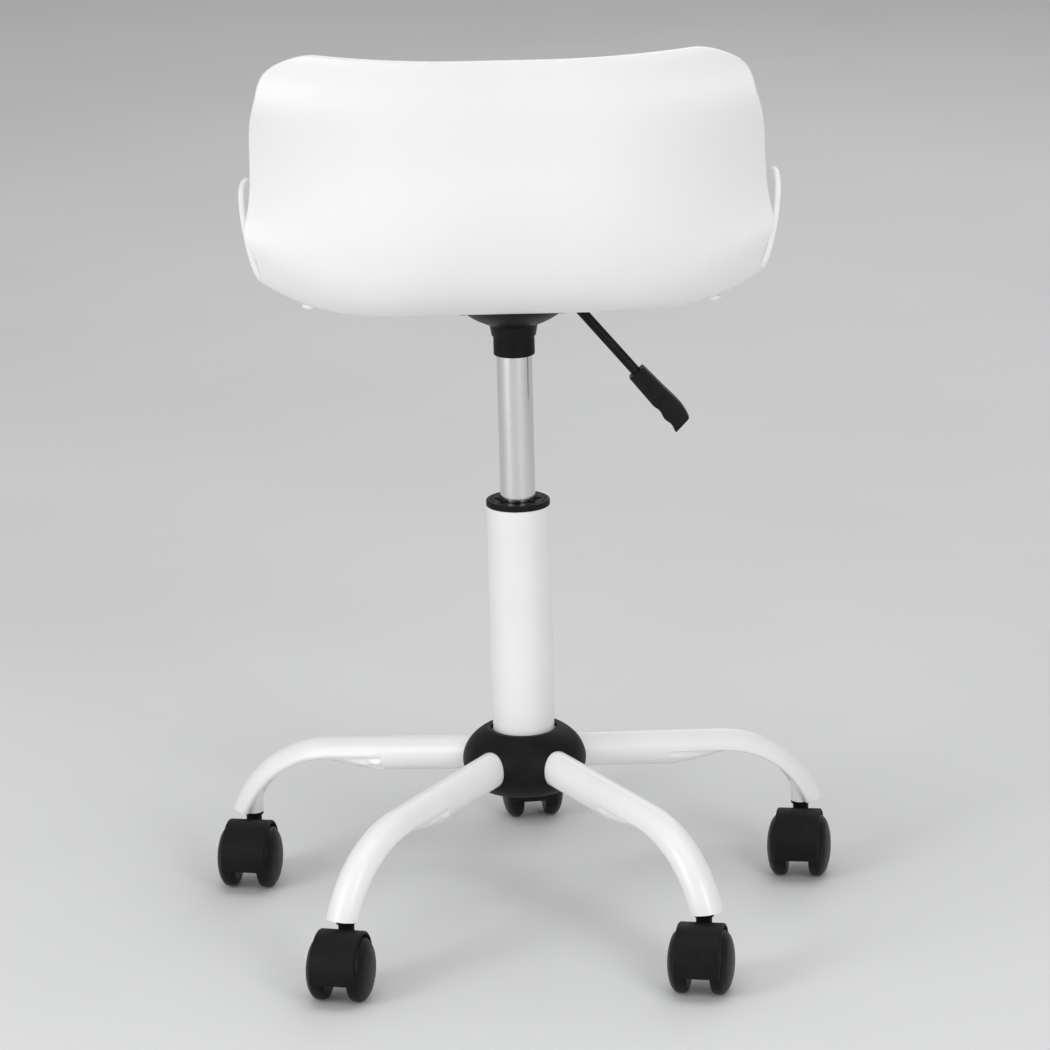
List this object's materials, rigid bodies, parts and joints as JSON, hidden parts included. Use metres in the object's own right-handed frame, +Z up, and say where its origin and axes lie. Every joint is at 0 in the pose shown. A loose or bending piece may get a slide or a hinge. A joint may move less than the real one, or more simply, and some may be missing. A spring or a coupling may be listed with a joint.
{
  "type": "pedicure stool",
  "caption": "Low swivel stool with a moulded bucket seat and short back, gas-lift column, height lever and a tubular base on twin-wheel casters.",
  "frame": {"origin": "on the floor, on the column axis", "axes": "+Z up along the column; the sitter faces -Y, so the back rest is on the +Y side; +X is the sitter's left and the height lever is on the -X side"},
  "size_m": [0.5007, 0.4929, 0.7294],
  "materials": {
    "white_paint": "smooth satin powder coat",
    "cylinder_steel": "fine ground, bright",
    "black_plastic": "satin moulded",
    "wheel_nylon": "satin moulded nylon",
    "grip_plastic": "fine grain",
    "black_paint": "satin black",
    "zinc_steel": "zinc plated",
    "shell_plastic": "smooth satin moulded",
    "black_rubber": "matt",
    "insert_brass": "turned"
  },
  "bodies": {
    "base": {"hub_sleeve": "white_paint", "hub_cover": "black_plastic", "column_tube": "white_paint", "guide_bush": "black_plastic", "bearing_lower_race": "zinc_steel", "bearing_balls": "zinc_steel", "leg_front": "white_paint", "leg_right": "white_paint", "leg_left": "white_paint", "leg_rear_right": "white_paint", "leg_rear_left": "white_paint", "socket_front": "white_paint", "socket_right": "white_paint", "socket_left": "white_paint", "socket_rear_right": "white_paint", "socket_rear_left": "white_paint", "stem_front": "black_paint", "stem_right": "black_paint", "stem_left": "black_paint", "stem_rear_right": "black_paint", "stem_rear_left": "black_paint"},
    "rod": {"piston_rod": "zinc_steel", "rod_clip": "zinc_steel", "bearing_upper_race": "zinc_steel", "bump_rubber": "black_rubber"},
    "seat": {"gas_cylinder": "cylinder_steel", "dust_collar": "black_plastic", "taper_socket": "black_paint", "seat_dish": "black_paint", "seat_plate": "black_paint", "plate_bolts": "zinc_steel", "seat_inserts": "insert_brass", "seat_shell": "shell_plastic", "underside_caps": "shell_plastic", "lever_bracket": "black_paint", "lever_pivot_pin": "zinc_steel"},
    "lever": {"lever_rod": "black_paint", "lever_grip": "grip_plastic"},
    "valve": {"valve_pin": "zinc_steel"},
    "caster_front": {"hood_front": "black_plastic", "axle_front": "zinc_steel"},
    "roller_front_left": {"wheel_front_left": "wheel_nylon"},
    "roller_front_right": {"wheel_front_right": "wheel_nylon"},
    "caster_right": {"hood_right": "black_plastic", "axle_right": "zinc_steel"},
    "roller_right_left": {"wheel_right_left": "wheel_nylon"},
    "roller_right_right": {"wheel_right_right": "wheel_nylon"},
    "caster_left": {"hood_left": "black_plastic", "axle_left": "zinc_steel"},
    "roller_left_left": {"wheel_left_left": "wheel_nylon"},
    "roller_left_right": {"wheel_left_right": "wheel_nylon"},
    "caster_rear_right": {"hood_rear_right": "black_plastic", "axle_rear_right": "zinc_steel"},
    "roller_rear_right_left": {"wheel_rear_right_left": "wheel_nylon"},
    "roller_rear_right_right": {"wheel_rear_right_right": "wheel_nylon"},
    "caster_rear_left": {"hood_rear_left": "black_plastic", "axle_rear_left": "zinc_steel"},
    "roller_rear_left_left": {"wheel_rear_left_left": "wheel_nylon"},
    "roller_rear_left_right": {"wheel_rear_left_right": "wheel_nylon"}
  },
  "joints": [
    {"name": "seat_swivel", "type": "hinge", "parent": "base", "child": "rod", "pos_m": [0, 0, 0.1045], "axis": [0, 0, 1], "continuous": true},
    {"name": "seat_lift", "type": "slide", "parent": "rod", "child": "seat", "axis": [0, 0, 1], "range_m": [-0.11, 0]},
    {"name": "lever_lift", "type": "hinge", "parent": "seat", "child": "lever", "pos_m": [-0.025, 0, 0.496], "axis": [0, 1, 0], "range_deg": [0, 4.6], "stiffness_Nm_per_rad": 1.2},
    {"name": "valve_press", "type": "slide", "parent": "seat", "child": "valve", "axis": [0, 0, -1], "range_m": [0, 0.0022], "stiffness_N_per_m": 600},
    {"name": "caster_swivel_front", "type": "hinge", "parent": "base", "child": "caster_front", "pos_m": [0, -0.2351, 0.053], "axis": [0, 0, 1], "continuous": true},
    {"name": "wheel_spin_front_left", "type": "hinge", "parent": "caster_front", "child": "roller_front_left", "pos_m": [-0.00254, -0.21657, 0.025], "axis": [0.9907, 0.1357, 0], "continuous": true},
    {"name": "wheel_spin_front_right", "type": "hinge", "parent": "caster_front", "child": "roller_front_right", "pos_m": [-0.00254, -0.21657, 0.025], "axis": [0.9907, 0.1357, 0], "continuous": true},
    {"name": "caster_swivel_right", "type": "hinge", "parent": "base", "child": "caster_right", "pos_m": [-0.22359, -0.07265, 0.053], "axis": [0, 0, 1], "continuous": true},
    {"name": "wheel_spin_right_left", "type": "hinge", "parent": "caster_right", "child": "roller_right_left", "pos_m": [-0.22118, -0.05411, 0.025], "axis": [0.9917, -0.1288, 0], "continuous": true},
    {"name": "wheel_spin_right_right", "type": "hinge", "parent": "caster_right", "child": "roller_right_right", "pos_m": [-0.22118, -0.05411, 0.025], "axis": [0.9917, -0.1288, 0], "continuous": true},
    {"name": "caster_swivel_left", "type": "hinge", "parent": "base", "child": "caster_left", "pos_m": [0.22359, -0.07265, 0.053], "axis": [0, 0, 1], "continuous": true},
    {"name": "wheel_spin_left_left", "type": "hinge", "parent": "caster_left", "child": "roller_left_left", "pos_m": [0.22678, -0.05422, 0.025], "axis": [0.9854, -0.1702, 0], "continuous": true},
    {"name": "wheel_spin_left_right", "type": "hinge", "parent": "caster_left", "child": "roller_left_right", "pos_m": [0.22678, -0.05422, 0.025], "axis": [0.9854, -0.1702, 0], "continuous": true},
    {"name": "caster_swivel_rear_right", "type": "hinge", "parent": "base", "child": "caster_rear_right", "pos_m": [-0.13819, 0.1902, 0.053], "axis": [0, 0, 1], "continuous": true},
    {"name": "wheel_spin_rear_right_left", "type": "hinge", "parent": "caster_rear_right", "child": "roller_rear_right_left", "pos_m": [-0.1351, 0.20864, 0.025], "axis": [0.9863, -0.165, 0], "continuous": true},
    {"name": "wheel_spin_rear_right_right", "type": "hinge", "parent": "caster_rear_right", "child": "roller_rear_right_right", "pos_m": [-0.1351, 0.20864, 0.025], "axis": [0.9863, -0.165, 0], "continuous": true},
    {"name": "caster_swivel_rear_left", "type": "hinge", "parent": "base", "child": "caster_rear_left", "pos_m": [0.13819, 0.1902, 0.053], "axis": [0, 0, 1], "continuous": true},
    {"name": "wheel_spin_rear_left_left", "type": "hinge", "parent": "caster_rear_left", "child": "roller_rear_left_left", "pos_m": [0.14249, 0.2084, 0.025], "axis": [0.9732, -0.23, 0], "continuous": true},
    {"name": "wheel_spin_rear_left_right", "type": "hinge", "parent": "caster_rear_left", "child": "roller_rear_left_right", "pos_m": [0.14249, 0.2084, 0.025], "axis": [0.9732, -0.23, 0], "continuous": true}
  ],
  "couplings": [
    {"joint": "valve_press", "follows": "lever_lift", "m_per_rad": 0.0272}
  ]
}
